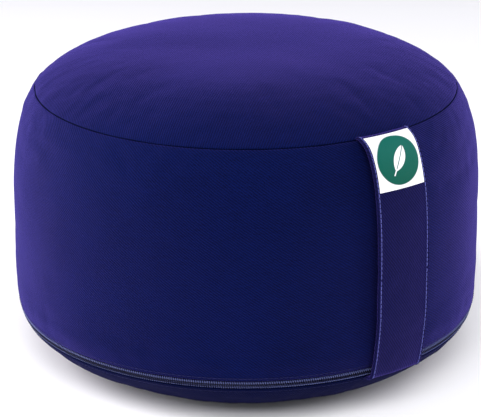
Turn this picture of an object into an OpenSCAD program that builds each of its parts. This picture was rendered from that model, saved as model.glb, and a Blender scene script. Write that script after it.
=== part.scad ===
// Round floor cushion: a zipped twill cover with a carry strap over a zipped
// liner that holds loose hulls. Millimetres, +Z up, origin at the centre of the
// face that rests on the floor. The strap is at the front, towards -Y.
//
// Every fabric layer follows one meridian of the cushion. A point on it is given
// by where it lies along the dome, the side or the base, and by its depth below
// the outer surface of the cover.

/* [Body] */
// Largest diameter, at the bulge of the side
body_d = 306; // [280:2:330]
// Height as it stands
body_h = 204; // [188:2:220]
// How far the top panel rises above its seam
dome_rise = 26; // [20:1:30]
// How far the top seam is drawn in from the bulge
top_draw = 15.4; // [12:0.2:20]
// Height of the bulge above the floor
bulge_z = 52.5; // [48:0.5:60]
// How far the zip line is drawn in from the bulge
zip_draw = 2; // [1.5:0.1:3]
// Height of the zip line above the floor
zip_z = 30.5; // [27:0.5:33]
// Diameter of the flat that rests on the floor
rest_d = 207; // [195:1:230]

/* [Fabric] */
// Thickness of the cover's twill
cover_t = 0.9; // [0.6:0.1:1.0]
// Width of the seam allowances turned inside
allowance = 9; // [6:0.5:10]
// Thickness of the liner's muslin
liner_t = 0.5; // [0.3:0.1:0.6]

/* [Cover zip] */
// Half of the arc that the zip covers, from the front
zip_half_arc = 150; // [140:1:160]
// Width of the closed chain
chain_w = 5.4; // [5:0.1:6]
// Overall width of one tape
tape_w = 14; // [12:0.5:15]
// Arc where the slider is parked, measured from the zip's closed end
park_arc = 5; // [4:0.5:8]

/* [Carry strap] */
// Width of the strap
strap_w = 40; // [38:1:44]
// Thickness of the folded strap
strap_t = 2.2; // [1.6:0.1:2.6]
// Room for the fingers behind the strap
strap_gap = 6.2; // [5.6:0.1:8]
// Height of the grip's upper end
grip_top = 132; // [124:1:136]
// Height of the grip's lower end
grip_low = 56; // [50:1:64]
// Side of the square woven label
label_w = 34.4; // [30:0.1:36]

/* [Liner zip] */
// Half of the arc of the liner's filling zip
liner_zip_half_arc = 42; // [30:1:50]
// Height of the liner's filling zip
liner_zip_z = 112; // [100:1:125]

/* [Hidden] */

twill = [0.15, 0.13, 0.42];
twill_dark = [0.11, 0.10, 0.33];
thread = [0.30, 0.31, 0.60];
coil_colour = [0.33, 0.36, 0.60];
muslin = [0.90, 0.87, 0.79];
metal = [0.62, 0.63, 0.66];

gap = 0.1;            // between plies that lie against each other
lean = atan(3 * zip_draw / (bulge_z - zip_z));   // the zip line's outward normal points this far below level
liner_depth = 5;      // of the liner's outer face below the cover's
fill_depth = 7.8;     // of the filling's surface below the cover's
row_in = 0.45;        // half of the slit between the two coils
edge_s = chain_w / 2 + 0.65;   // from the zip line to each folded fabric edge
tape_depth = 2 * cover_t + gap + 0.2;
tape_t = 0.5;
zip_start = 270 - zip_half_arc;
zip_arc = 2 * zip_half_arc;
park = zip_start + park_arc;
liner_zip_mid = 180;

// Dimensions of the meridian at a depth below the cover's outer face.
// 0 R, 1 seam r, 2 seam z, 3 bulge z, 4 zip r, 5 zip z, 6 rest r, 7 rest z,
// 8 top z, 9 and 10 how full the lower corner is
function dims(d) = let (R = body_d / 2) [
    R - d, R - top_draw - 0.763 * d, body_h - dome_rise - 0.669 * d, bulge_z,
    R - zip_draw - d * cos(lean), zip_z + d * sin(lean), rest_d / 2, d,
    body_h - d, 11.5 - 0.3 * d, 15 - 0.4 * d];

function unit(v) = v / norm(v);
function into(t) = [t[1], -t[0]];   // inward normal of a path that runs down the outside

function side_r(P, z) =
    z > P[3] ? P[0] - (P[0] - P[1]) * pow((z - P[3]) / (P[2] - P[3]), 5)
    : z > P[5] ? P[0] - (P[0] - P[4]) * pow((P[3] - z) / (P[3] - P[5]), 3)
    : P[4] + (z - P[5]) * tan(lean);
function side_at(P, z, d = 0) = let (t = unit([side_r(P, z - 0.05) - side_r(P, z + 0.05), -0.1]))
    [side_r(P, z), z] + d * into(t);
function dome_z(P, r) = P[8] - (P[8] - P[2]) * pow(r / P[1], 4.3);
function dome_at(P, r, d = 0) = let (s = (P[8] - P[2]) * 4.3 / P[1] * pow(r / P[1], 3.3))
    [r, dome_z(P, r)] + d * into(unit([1, -s]));
function base_knots(P) = [[P[4], P[5]], [P[4] - P[9] * sin(lean), P[5] - P[9] * cos(lean)],
    [P[6] + P[10], P[7]], [P[6], P[7]]];
function base_at(P, t, d = 0) = let (k = base_knots(P), u = 1 - t,
        p = u * u * u * k[0] + 3 * u * u * t * k[1] + 3 * u * t * t * k[2] + t * t * t * k[3],
        v = 3 * u * u * (k[1] - k[0]) + 6 * u * t * (k[2] - k[1]) + 3 * t * t * (k[3] - k[2]))
    p + d * into(unit(v));
// Where the base path is s below the zip line, measured along the fabric
function base_t(s, t = 0, run = 0) = run >= s ? t
    : base_t(s, t + 0.002, run + norm(base_at(C, t + 0.002) - base_at(C, t)));

C = dims(0);
L = dims(liner_depth);
F = dims(fill_depth);

function steps(a, b, n) = [for (i = [0:n]) a + (b - a) * i / n];
function side_run(P, z0, z1, d, n = 24) = [for (z = steps(z0, z1, n)) side_at(P, z, d)];
function dome_run(P, r0, r1, d, n = 16) = [for (r = steps(r0, r1, n)) dome_at(P, r, d)];
function base_run(P, t0, t1, d, n = 14) = [for (t = steps(t0, t1, n)) base_at(P, t, d)];

// Turns a meridian shape about the cushion's axis, over an arc that starts at a0
module turned(points, a0 = 0, arc = 360) {
    rotate([0, 0, a0]) rotate_extrude(angle = arc, $fn = 180) polygon(points);
}

// A ply of the side between two heights and two depths
module side_ply(P, z0, z1, d0, d1, a0 = 0, arc = 360, n = 24) {
    turned(concat(side_run(P, z0, z1, d0, n), side_run(P, z1, z0, d1, n)), a0, arc);
}
module base_ply(P, t0, t1, d0, d1, a0 = 0, arc = 360, n = 10) {
    turned(concat(base_run(P, t0, t1, d0, n), base_run(P, t1, t0, d1, n)), a0, arc);
}

// ---- cover ----

seam_z = C[2];
seam_drop = 0.5;      // the side starts this far below the top seam
hem_low = seam_z - allowance;

// The top panel, with its seam allowance turned down inside the side
module cover_top_panel() {
    t = cover_t;
    color(twill)
    turned(concat(
        dome_run(C, 0, C[1], 0), [dome_at(C, C[1], t)],
        side_run(C, seam_z, hem_low, 2 * (t + gap), 6),
        side_run(C, hem_low, seam_z, 3 * t + 2 * gap, 6),
        dome_run(C, C[1] - 1.3, 0, t)));
}

// Outline of the side panel, with its upper and lower allowances folded inside.
// z1 is where the lower edge folds
function side_outline(z1) = let (t = cover_t, z0 = seam_z - seam_drop, f = 1.0) concat(
    side_run(C, z0, z1, 0, 30),
    side_run(C, z1, z1 + allowance, 2 * t + gap, 6),
    side_run(C, z1 + allowance, z1 + f, t + gap, 6),
    side_run(C, z1 + f, z0 - f, t, 30),
    side_run(C, z0 - f, hem_low, t + gap, 6),
    side_run(C, hem_low, z0, 2 * t + gap, 6));

// The side panel is one strip: its two ends meet at the back in an upright seam.
// Where the zip runs, its lower edge stops short of the chain
module cover_side_panel() {
    join_low = C[5] + allowance + 3;
    z = C[5] + edge_s * cos(lean);
    r = body_d / 2;
    color(twill)
    union() {
        difference() {
            turned(side_outline(C[5] + 0.35));
            turned([[r - 20, C[5] - 6], [r + 6, C[5] - 6], [r + 6, z], [r - 20, z]], zip_start, zip_arc);
            translate([-0.25, r / 2, 0]) cube([0.5, 2 * r, body_h * 2]);
        }
        for (side = [0, 1])   // the join's two allowances, pressed open
            side_ply(C, hem_low - 3, join_low, cover_t - 0.05, 2 * cover_t,
                90 + (side ? 0.25 : -0.25 - 3.2), 3.2, 8);
    }
}

function base_outline(t0) = let (t = cover_t, f = base_t(1), w = base_t(allowance)) concat(
    base_run(C, t0, 1, 0, 18), [[0, 0], [0, t]],
    base_run(C, 1, t0 + f, t, 16),
    base_run(C, t0 + f, t0 + w, t + gap, 5),
    base_run(C, t0 + w, t0, 2 * t + gap, 5));

module cover_base_panel() {
    e = base_t(edge_s);
    color(twill)
    difference() {
        turned(base_outline(base_t(0.35)));
        turned([base_at(C, e, -4), base_at(C, e, 9), [C[4] - 9, C[5] + 6], [C[4] + 6, C[5] + 6]],
            zip_start, zip_arc);
    }
}

// Overlock that binds the raw edges of the top seam's two allowances
module cover_top_seam_overlock() {
    t = cover_t;
    a = t + gap;
    b = 3 * t + 2 * gap;
    color(thread)
    turned(concat(
        side_run(C, hem_low - 0.15, hem_low - 0.7, a, 1),
        side_run(C, hem_low - 0.7, hem_low + 4, b + 0.5, 4),
        side_run(C, hem_low + 4, hem_low - 0.15, b + 0.1, 4)));
}

// Lockstitch in the crease of the plain seam behind the zip's ends
module cover_base_seam_thread() {
    color(thread)
    turned([side_at(C, C[5] + 0.25, 0.6), side_at(C, C[5] + 0.25, 1.8),
            base_at(C, base_t(0.25), 1.8), base_at(C, base_t(0.25), 0.6)],
        zip_start + zip_arc + 0.6, 360 - zip_arc - 1.2);
}

// Lockstitch of the upright join
module cover_side_join_thread() {
    color(thread)
    side_ply(C, hem_low - 3, C[5] + allowance + 3, 0.35, 0.85, 89.94, 0.12);
}

// ---- cover zip ----

module zip_tape_upper() {
    color(twill_dark)
    side_ply(C, C[5] + tape_w * cos(lean), C[5] + row_in, tape_depth, tape_depth + tape_t,
        zip_start + 0.3, zip_arc - 0.6, 10);
}
module zip_tape_lower() {
    color(twill_dark)
    base_ply(C, base_t(row_in), base_t(tape_w), tape_depth, tape_depth + tape_t,
        zip_start + 0.3, zip_arc - 0.6, 10);
}
// Each coil is drawn as the outline of its turns
coil_top = 0.15;
module zip_coil_upper() {
    color(coil_colour)
    side_ply(C, C[5] + chain_w / 2 * cos(lean), C[5] + row_in, coil_top, tape_depth - 0.03,
        zip_start + 2.6, zip_arc - 5.2, 5);
}
module zip_coil_lower() {
    color(coil_colour)
    base_ply(C, base_t(row_in), base_t(chain_w / 2), coil_top, tape_depth - 0.03,
        zip_start + 2.6, zip_arc - 5.2, 5);
}
// One row of lockstitch beside each folded edge
module zip_tape_stitching() {
    color(thread) {
        side_ply(C, C[5] + (edge_s + 2.4) * cos(lean), C[5] + (edge_s + 1.9) * cos(lean), -0.2, 0,
            zip_start, zip_arc, 1);
        base_ply(C, base_t(edge_s + 1.9), base_t(edge_s + 2.4), -0.2, 0, zip_start, zip_arc, 1);
    }
}
// Two top stops at the closed end, one for each coil, and one bottom stop across both
module zip_end_stops() {
    s = chain_w / 2;
    color(metal) {
        side_ply(C, C[5] + s * cos(lean), C[5] + row_in, 0.05, tape_depth - 0.03,
            zip_start + 1.5, 1, 3);
        base_ply(C, base_t(row_in), base_t(s), 0.05, tape_depth - 0.03,
            zip_start + 1.5, 1, 3);
        turned(concat(side_run(C, C[5] + s * cos(lean), C[5] + 0.1, 0.05, 3),
                base_run(C, base_t(0.1), base_t(s), 0.05, 3),
                base_run(C, base_t(s), base_t(0.1), tape_depth - 0.03, 3),
                side_run(C, C[5] + 0.1, C[5] + s * cos(lean), tape_depth - 0.03, 3)),
            zip_start + zip_arc - 2.5, 1);
    }
}

// Places a piece of a slider: local X points out of the fabric, Y along the zip
// and Z across it
module on_zip(r, z, tilt, angle) {
    rotate([0, 0, angle]) translate([r, 0, z]) rotate([0, tilt, 0]) children();
}
module plate(x0, x1, points) {
    translate([x0, 0, 0]) rotate([90, 0, 90]) linear_extrude(height = x1 - x0) polygon(points);
}
// k scales the slider. out and back are where its two plates start
module slider_body(k, out, back) {
    plate(out, out + 0.6 * k, k * [[-5, -2.8], [1.5, -3.5], [4.2, -3.5], [5, -2.9],
        [5, 2.9], [4.2, 3.5], [1.5, 3.5], [-5, 2.8]]);
    plate(back - 0.6 * k, back, k * [[-5, -1.8], [2, -2.2], [5, -2], [5, 2], [2, 2.2], [-5, 1.8]]);
    translate([back - 0.1, 1 * k, -0.2]) cube([out - back + 0.2, 3 * k, 0.4]);
    for (y = [-4, 2.8]) translate([out + 0.5 * k, y * k, -1.1 * k]) cube([1.0 * k, 1.2 * k, 2.2 * k]);
    translate([out + 1.4 * k, -4 * k, -1.1 * k]) cube([0.5 * k, 8 * k, 2.2 * k]);
}
// The pull turns on its own cross bar, which lies under the slider's bridge
module pull_body(k, x, reach) {
    translate([x, 0, -2.7 * k]) cylinder(r = 0.3 * k, h = 5.4 * k, $fn = 32);
    for (z = [-2.7, 1.5]) translate([x - 0.29 * k, 0, z * k]) cube([0.58 * k, 5.4 * k, 1.2 * k]);
    difference() {
        translate([x - 0.29 * k, 4.7 * k, -2.7 * k]) cube([0.58 * k, (reach - 4.7) * k, 5.4 * k]);
        translate([x, (reach - 3) * k, 0]) rotate([0, 90, 0]) cylinder(r = 1.3 * k, h = 4, center = true, $fn = 32);
    }
}

slider_out = 0.35;
slider_back = -(tape_depth + tape_t + 0.6);
bar_x = slider_out + 1.0;
module zip_slider() {
    color(metal) on_zip(C[4], C[5], lean, park) slider_body(1, slider_out, slider_back);
}
module zip_pull_tab() {
    color(metal) on_zip(C[4], C[5], lean, park) pull_body(1, bar_x, 13);
}

// ---- carry strap ----

strap_low = C[5] - 4.4 * cos(lean);
strap_top = seam_z - 0.4;
zip_room = 3.0;       // the slider passes under the strap's lower end
low_in = 0.88;         // from the side's own line in to the base panel, at the strap's low end
function smooth(u) = let (v = min(max(u, 0), 1)) v * v * (3 - 2 * v);
// How far the strap's inner face stands off the side
function strap_off(z) = z < C[5]
    ? zip_room - (zip_room + low_in) * pow(1 - min((z - strap_low) / 4.3, 1), 5)
    : (zip_room + (strap_gap - zip_room) * smooth((z - C[5]) / 40))
        * (1 - pow((z - strap_low) / (strap_top - strap_low), 60)) + 0.15 * smooth((z - 120) / 40);
function strap_in(z) = side_r(C, z) + strap_off(z);
function strap_at(z, out) = let (t = unit([strap_in(z - 0.05) - strap_in(z + 0.05), -0.1]))
    [strap_in(z), z] - out * into(t);
// Heights from z0 down to z1, close together where the strap turns into its two seams
function strap_steps(z0, z1, n) = let (t = strap_top - 9, b = strap_low + 6, w0 = sqrt(max(strap_top - z0, 0)))
    z1 > t ? [for (w = steps(w0, sqrt(strap_top - z1), n)) strap_top - w * w]
    : concat(z0 > t ? [for (i = [0:13]) let (w = w0 + (3 - w0) * i / 14) strap_top - w * w] : [],
        steps(min(z0, t), max(z1, b), n),
        z1 < b ? [for (i = [1:10]) let (w = sqrt(6) + (sqrt(max(z1 - strap_low, 0)) - sqrt(6)) * i / 10) strap_low + w * w] : []);
function strap_run(z0, z1, out, n) = [for (z = strap_steps(z0, z1, n)) strap_at(z, out)];
function flip(v) = [for (i = [len(v) - 1:-1:0]) v[i]];

// A length of strap between two heights, o0 and o1 out from its inner face, x0 to x1 across
module strap_length(z0, z1, o0, o1, x0, x1, n = 12) {
    intersection() {
        turned(concat(strap_run(z0, z1, o1, n), flip(strap_run(z0, z1, o0, n))), 270 - 14, 28);
        translate([x0, -body_d, 0]) cube([x1 - x0, body_d, body_h]);
    }
}

cut = 0.35;   // between the grip and the two sewn ends
module handle_upper_end() {
    color(twill) strap_length(strap_top, grip_top + cut, 0, strap_t, -strap_w / 2, strap_w / 2, 12);
}
module handle_grip() {
    color(twill) strap_length(grip_top, grip_low, 0, strap_t, -strap_w / 2, strap_w / 2, 10);
}
module handle_lower_end() {
    color(twill) strap_length(grip_low - cut, strap_low, 0, strap_t, -strap_w / 2, strap_w / 2, 8);
}
stitch_x = strap_w / 2 - 1.85;
module edge_stitches(z0, z1, n) {
    for (x = [-stitch_x, stitch_x])
        strap_length(z0, z1, strap_t + 0.1, strap_t + 0.35, x - 0.25, x + 0.25, n);
}
module handle_end_stitching() {
    color(thread) {
        edge_stitches(strap_top - 0.6, grip_top + cut, 12);
        edge_stitches(grip_low - cut, strap_low + 6.5, 7);
    }
}
module handle_grip_stitching() {
    color(thread) edge_stitches(grip_top, grip_low, 10);
}

label_top = strap_top - 0.9;
label_low = label_top - label_w + 6;   // its top is turned out flat beside the seam
module woven_label() {
    color("white")
    strap_length(label_top, label_low, strap_t + 0.1, strap_t + 0.6, -label_w / 2, label_w / 2, 8);
}
module label_stitching() {
    w = label_w / 2 - 1.2;
    o = strap_t + 0.68;
    color([0.92, 0.92, 0.94]) {
        for (x = [-w, w]) strap_length(label_top - 0.8, label_low + 1.2, o, o + 0.15, x - 0.2, x + 0.2, 8);
        for (z = [[label_top - 0.5, label_top - 0.65], [label_low + 1.2, label_low + 0.8]])
            strap_length(z[0], z[1], o, o + 0.15, -w + 0.4, w - 0.4, 1);
    }
}

// ---- liner ----

module liner_top_panel() {
    color(muslin)
    turned(concat(dome_run(L, 0, L[1], 0), [dome_at(L, L[1], liner_t)],
        dome_run(L, L[1] - 0.6, 0, liner_t)));
}
liner_coil_w = 2.1;
liner_edge = 2.6;
liner_zip_start = liner_zip_mid - liner_zip_half_arc;
module liner_side_panel() {
    color(muslin)
    difference() {
        side_ply(L, L[2] - 0.6, L[5] + 0.3, 0, liner_t, 0, 360, 26);
        rotate([0, 0, liner_zip_start]) rotate_extrude(angle = 2 * liner_zip_half_arc, $fn = 180)
            translate([L[0] - 6, liner_zip_z - liner_edge]) square([12, 2 * liner_edge]);
    }
}
module liner_base_panel() {
    color(muslin)
    turned(concat(base_run(L, 0.006, 1, 0, 16), [[0, L[7]], [0, L[7] + liner_t]],
        base_run(L, 1, 0.006, liner_t, 16)));
}
module liner_seam_threads() {
    color(muslin) {
        turned([[L[1] - 1.2, L[2] - 1.4], [L[1] - 0.7, L[2] - 1.9], [L[1] - 1.6, L[2] - 2.6], [L[1] - 2.0, L[2] - 2.0]]);
        turned([side_at(L, L[5] + 0.1, liner_t + 0.15), side_at(L, L[5] + 0.1, liner_t + 0.7),
            base_at(L, 0.02, liner_t + 0.7), base_at(L, 0.02, liner_t + 0.15)]);
    }
}
module liner_rows(w0, w1, d0, d1, a0, arc) {
    for (s = [-1, 1])
        side_ply(L, liner_zip_z + (s > 0 ? w1 : -w0), liner_zip_z + (s > 0 ? w0 : -w1), d0, d1, a0, arc, 2);
}
module liner_zip_tapes() {
    color(muslin) liner_rows(0.4, 9, liner_t + 0.55, liner_t + 0.9, liner_zip_start - 2, 2 * liner_zip_half_arc + 4);
}
module liner_zip_coils() {
    color("white") liner_rows(0.4, liner_coil_w, -0.1, liner_t + 0.5, liner_zip_start + 2, 2 * liner_zip_half_arc - 4);
}
module liner_zip_stops() {
    color(metal) {
        liner_rows(0.4, liner_coil_w, -0.15, liner_t + 0.5, liner_zip_start + 1, 0.7);
        liner_rows(0.1, liner_coil_w, -0.15, liner_t + 0.5, liner_zip_start + 2 * liner_zip_half_arc - 1.7, 0.7);
    }
}
liner_park = liner_zip_start + 4.5;
module liner_zip_slider() {
    color(metal) on_zip(side_r(L, liner_zip_z), liner_zip_z, 0, liner_park)
        slider_body(0.65, 0.35, -(liner_t + 1.2));
}
module liner_zip_pull_tab() {
    color(metal) on_zip(side_r(L, liner_zip_z), liner_zip_z, 0, liner_park)
        pull_body(0.65, 0.35 + 1.0 * 0.65, 14);
}

// The loose hulls, drawn as the one body that they pack into
module buckwheat_fill() {
    color([0.36, 0.25, 0.17])
    turned(concat(dome_run(F, 0, F[1], 0), side_run(F, F[2] - 0.6, F[5] + 0.5, 0, 24),
        base_run(F, 0, 1, 0, 12), [[0, F[7]]]));
}

cover_top_panel();
cover_side_panel();
cover_base_panel();
cover_top_seam_overlock();
cover_base_seam_thread();
cover_side_join_thread();
zip_tape_upper();
zip_tape_lower();
zip_coil_upper();
zip_coil_lower();
zip_tape_stitching();
zip_end_stops();
zip_slider();
zip_pull_tab();
handle_upper_end();
handle_grip();
handle_lower_end();
handle_end_stitching();
handle_grip_stitching();
woven_label();
label_stitching();
liner_top_panel();
liner_side_panel();
liner_base_panel();
liner_seam_threads();
liner_zip_tapes();
liner_zip_coils();
liner_zip_stops();
liner_zip_slider();
liner_zip_pull_tab();
buckwheat_fill();
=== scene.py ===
import math

import bpy
import numpy as np
from mathutils import Matrix, Quaternion, Vector, noise
from mathutils.kdtree import KDTree


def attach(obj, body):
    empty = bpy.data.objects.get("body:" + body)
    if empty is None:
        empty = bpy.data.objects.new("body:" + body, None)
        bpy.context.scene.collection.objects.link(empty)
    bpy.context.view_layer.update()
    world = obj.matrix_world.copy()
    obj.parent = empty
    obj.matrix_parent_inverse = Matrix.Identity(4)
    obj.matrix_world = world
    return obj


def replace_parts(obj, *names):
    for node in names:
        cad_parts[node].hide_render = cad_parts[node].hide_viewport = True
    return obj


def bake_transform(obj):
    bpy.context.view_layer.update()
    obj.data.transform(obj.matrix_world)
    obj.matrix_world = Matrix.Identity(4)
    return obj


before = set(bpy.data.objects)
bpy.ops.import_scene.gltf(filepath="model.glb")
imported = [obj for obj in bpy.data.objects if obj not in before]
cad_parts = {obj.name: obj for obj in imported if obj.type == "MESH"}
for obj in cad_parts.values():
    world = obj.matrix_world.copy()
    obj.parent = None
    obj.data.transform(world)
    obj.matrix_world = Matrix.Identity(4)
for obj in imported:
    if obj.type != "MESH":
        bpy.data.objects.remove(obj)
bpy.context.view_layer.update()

MM = 0.001
LEAN = math.atan(3 * 2.0 / (52.5 - 30.5))

# ------------------------------------------------------------------ meridian
# The cover's outer surface, the same curve as the CAD's, in millimetres.
R = 153.0
SEAM_R, SEAM_Z = 137.6, 178.0
BULGE_Z = 52.5
ZIP_R, ZIP_Z = 151.0, 30.5
REST_R = 103.5
TOP_Z = 204.0
EDGE = 3.35           # from the zip line to each folded edge
ZIP_A0, ZIP_ARC = 120.0, 300.0
SLIDER_A = 125.0


def side_r(z, d=0.0):
    rr, sr, sz = R - d, SEAM_R - 0.763 * d, SEAM_Z - 0.669 * d
    zr, zz = ZIP_R - d * math.cos(LEAN), ZIP_Z + d * math.sin(LEAN)
    z = np.asarray(z, float)
    up = rr - (rr - sr) * np.power(np.clip((z - BULGE_Z) / (sz - BULGE_Z), 0, None), 5)
    mid = rr - (rr - zr) * np.power(np.clip((BULGE_Z - z) / (BULGE_Z - zz), 0, None), 3)
    low = zr + (z - zz) * math.tan(LEAN)
    return np.where(z > BULGE_Z, up, np.where(z > zz, mid, low))


def dome_curve(d=0.0, n=260):
    sr, sz, tz = SEAM_R - 0.763 * d, SEAM_Z - 0.669 * d, TOP_Z - d
    r = np.linspace(0, sr, n)
    return np.stack([r, tz - (tz - sz) * (r / sr) ** 4.3], 1)


def side_curve(d=0.0, n=420):
    sz, zz = SEAM_Z - 0.669 * d, ZIP_Z + d * math.sin(LEAN)
    z = np.linspace(sz, zz, n)
    return np.stack([side_r(z, d), z], 1)


def base_curve(d=0.0, n=260):
    zr, zz = ZIP_R - d * math.cos(LEAN), ZIP_Z + d * math.sin(LEAN)
    a, b = 11.5 - 0.3 * d, 15 - 0.4 * d
    k = np.array([[zr, zz], [zr - a * math.sin(LEAN), zz - a * math.cos(LEAN)], [REST_R + b, d], [REST_R, d]])
    t = np.linspace(0, 1, n)[:, None]
    u = 1 - t
    c = u ** 3 * k[0] + 3 * u * u * t * k[1] + 3 * u * t * t * k[2] + t ** 3 * k[3]
    flat = np.stack([np.linspace(REST_R, 0, 120)[1:], np.full(119, d)], 1)
    return np.concatenate([c, flat])


class Path:
    """A meridian curve that runs outward and down: points by distance along it and depth inside it."""

    def __init__(self, pts):
        self.p = np.asarray(pts, float)
        seg = np.linalg.norm(np.diff(self.p, axis=0), axis=1)
        self.s = np.concatenate([[0], np.cumsum(seg)])
        self.len = self.s[-1]
        t = np.gradient(self.p, self.s, axis=0)
        t /= np.linalg.norm(t, axis=1)[:, None]
        self.n = np.stack([t[:, 1], -t[:, 0]], 1)      # inward

    def at(self, s, depth=0.0):
        s = np.asarray(s, float)
        c = np.clip(s, 0, self.len)
        p = np.stack([np.interp(c, self.s, self.p[:, k]) for k in (0, 1)], -1)
        n = np.stack([np.interp(c, self.s, self.n[:, k]) for k in (0, 1)], -1)
        n /= np.linalg.norm(n, axis=-1)[..., None]
        t = np.stack([-n[..., 1], n[..., 0]], -1)
        over = (s - c)[..., None]
        return p + t * over + n * np.asarray(depth, float)[..., None]

    def out(self, s):
        n = np.stack([np.interp(s, self.s, self.n[:, k]) for k in (0, 1)], -1)
        return -n / np.linalg.norm(n, axis=-1)[..., None]


DOME, SIDE, BASE = Path(dome_curve()), Path(side_curve()), Path(base_curve())


def spin(rz, ang):
    """(r, z) at angles in radians, in millimetres, to x, y, z in metres."""
    r, z = rz[..., 0], rz[..., 1]
    return np.stack([r * np.cos(ang), r * np.sin(ang), z], -1) * MM


def smooth(u):
    v = np.clip(u, 0, 1)
    return v * v * (3 - 2 * v)


def wob(ang, freq, seed, phase=0.0):
    """Periodic noise round the body, about -1 to 1."""
    out = np.empty(len(ang))
    k = freq / (2 * math.pi)
    for i, a in enumerate(ang):
        out[i] = noise.noise(Vector((math.cos(a) * k + seed * 7.13, math.sin(a) * k - seed * 3.7, seed * 1.9 + phase)))
    return out * 1.9


# ------------------------------------------------------------------ meshes
def make(name, verts, faces, uv=None, smooth_shade=True):
    me = bpy.data.meshes.new(name)
    me.from_pydata([tuple(v) for v in verts], [], faces)
    if uv is not None:
        layer = me.uv_layers.new(name="UVMap")
        idx = np.empty(len(me.loops), np.int32)
        me.loops.foreach_get("vertex_index", idx)
        layer.data.foreach_set("uv", np.asarray(uv, np.float32).reshape(-1, 2).ravel() if len(uv) == len(idx) else np.asarray(uv, np.float32)[idx].ravel())
    me.polygons.foreach_set("use_smooth", [smooth_shade] * len(me.polygons))
    me.validate()
    me.update()
    o = bpy.data.objects.new(name, me)
    bpy.context.scene.collection.objects.link(o)
    return o


def lattice(name, pts, wrap=True, uv=None, flip=False, first=None, last=None, keep=None):
    """A grid of points, rows by columns, as quads. uv is rows by columns(+1 if wrapped). first and last are
    single points that close the ends. keep(i, j) drops faces."""
    rows, cols = pts.shape[:2]
    verts = pts.reshape(-1, 3).tolist()
    faces, luv = [], []
    n = cols if wrap else cols - 1
    for i in range(rows - 1):
        for j in range(n):
            if keep is not None and not keep[i, j]:
                continue
            k = (j + 1) % cols
            q = [i * cols + j, i * cols + k, (i + 1) * cols + k, (i + 1) * cols + j]
            w = [(i, j), (i, j + 1), (i + 1, j + 1), (i + 1, j)]
            if flip:
                q.reverse(), w.reverse()
            faces.append(q)
            luv.extend(w)
    for point, row in ((first, 0), (last, rows - 1)):
        if point is None:
            continue
        c = len(verts)
        verts.append(list(point))
        for j in range(n):
            k = (j + 1) % cols
            q, w = [c, row * cols + k, row * cols + j], [(row, j), (row, j + 1), (row, j)]
            if (row != 0) != flip:
                q.reverse(), w.reverse()
            faces.append(q)
            luv.extend(w)
    u = None
    if uv is not None:
        u = np.array([uv[a, b] for a, b in luv])
    o = make(name, verts, faces, u)
    return o


def in_seam(o, rows, cols, which):
    """Gives the faces of the rows in which the cloth goes down into a seam, or round a folded edge at the zip, a darker
    twill with no sheen: painted shade in the seam grooves.
    """
    o.data.materials.append(seam_shade_m)
    idx = np.zeros(len(o.data.polygons), np.int32)
    for i in which:
        idx[i * cols:(i + 1) * cols] = 1
    o.data.polygons.foreach_set("material_index", idx)


def outward(o, centre=(0, 0, 0.1)):
    """Turns a shell's faces to look away from a point inside it."""
    me = o.data
    c = Vector(centre)
    s = sum((p.center - c).dot(p.normal) * p.area for p in list(me.polygons)[::7])
    if s < 0:
        me.flip_normals()
    return o


def tube(paths, radius, sides=6):
    """Vertices and faces for round threads along several point lists, with closed ends."""
    verts, faces = [], []
    for path, side_dir in paths:
        p = np.asarray(path, float)
        t = np.gradient(p, axis=0)
        t /= np.linalg.norm(t, axis=1)[:, None]
        n = np.asarray(side_dir, float)
        n = n - (n * t).sum(1)[:, None] * t
        n /= np.linalg.norm(n, axis=1)[:, None]
        b = np.cross(t, n)
        base = len(verts)
        rad = np.asarray(radius if np.ndim(radius) else np.full(len(p), radius), float)
        for i in range(len(p)):
            for k in range(sides):
                a = 2 * math.pi * k / sides
                verts.append(p[i] + rad[i] * (math.cos(a) * n[i] + math.sin(a) * b[i]))
        for i in range(len(p) - 1):
            for k in range(sides):
                l = (k + 1) % sides
                faces.append([base + i * sides + k, base + i * sides + l, base + (i + 1) * sides + l, base + (i + 1) * sides + k])
        faces.append([base + k for k in reversed(range(sides))])
        faces.append([base + (len(p) - 1) * sides + k for k in range(sides)])
    return verts, faces


# ------------------------------------------------------------------ materials
def new_mat(name):
    m = bpy.data.materials.new(name)
    m.use_nodes = True
    nt = m.node_tree
    bsdf = nt.nodes["Principled BSDF"]
    return m, nt, bsdf


def node(nt, kind, **sets):
    n = nt.nodes.new(kind)
    for k, v in sets.items():
        if k.startswith("in_"):
            key = k[3:]
            n.inputs[int(key) if key.isdigit() else key.replace("_", " ")].default_value = v
        else:
            setattr(n, k, v)
    return n


def math_node(nt, op, a, b=None, clamp=False):
    n = nt.nodes.new("ShaderNodeMath")
    n.operation = op
    n.use_clamp = clamp
    for i, v in enumerate((a, b)):
        if v is None:
            continue
        if isinstance(v, (int, float)):
            n.inputs[i].default_value = v
        else:
            nt.links.new(v, n.inputs[i])
    return n.outputs[0]


def mix_col(nt, fac, a, b, blend="MIX"):
    n = nt.nodes.new("ShaderNodeMix")
    n.data_type = "RGBA"
    n.blend_type = blend
    for i, v in ((0, fac), (6, a), (7, b)):
        if isinstance(v, (int, float)):
            n.inputs[i].default_value = v
        elif isinstance(v, (tuple, list)):
            n.inputs[i].default_value = (*v[:3], 1)
        else:
            nt.links.new(v, n.inputs[i])
    return n.outputs[2]


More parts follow.
